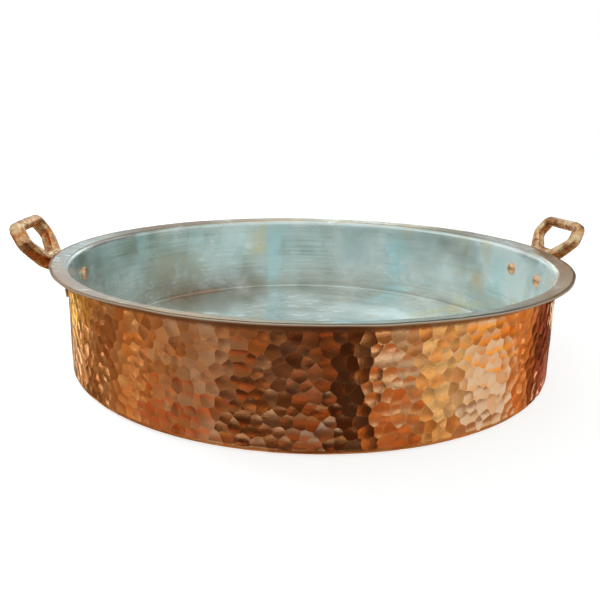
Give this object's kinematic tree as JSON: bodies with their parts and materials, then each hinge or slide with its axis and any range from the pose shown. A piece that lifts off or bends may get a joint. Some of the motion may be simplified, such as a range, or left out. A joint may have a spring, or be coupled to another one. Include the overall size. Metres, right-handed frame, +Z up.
{
  "type": "round copper tray",
  "caption": "Round, straight-walled tray of hammered copper, tinned inside, with a narrow turned-out rim and riveted angular loop handles.",
  "frame": {"origin": "centre of the pan's underside, where the tray stands", "axes": "+Z up out of the open pan; +X through the middle of one handle, -X through the other; +Y across them"},
  "size_m": [0.598, 0.53, 0.1372],
  "materials": {
    "copper": "bright hammered copper, lacquer-free, with brown and orange tarnish",
    "tin": "hand-wiped tin, satin, streaky",
    "bronze": "rough-cast bronze, worn bright on the edges",
    "rivet_copper": "hammered copper rivet heads, slightly tinned"
  },
  "bodies": {
    "root": {"copper_pan": "copper", "tin_lining": "tin", "handle_right": "bronze", "handle_left": "bronze", "rivet_right_front": "rivet_copper", "rivet_right_back": "rivet_copper", "rivet_left_front": "rivet_copper", "rivet_left_back": "rivet_copper"}
  },
  "joints": []
}
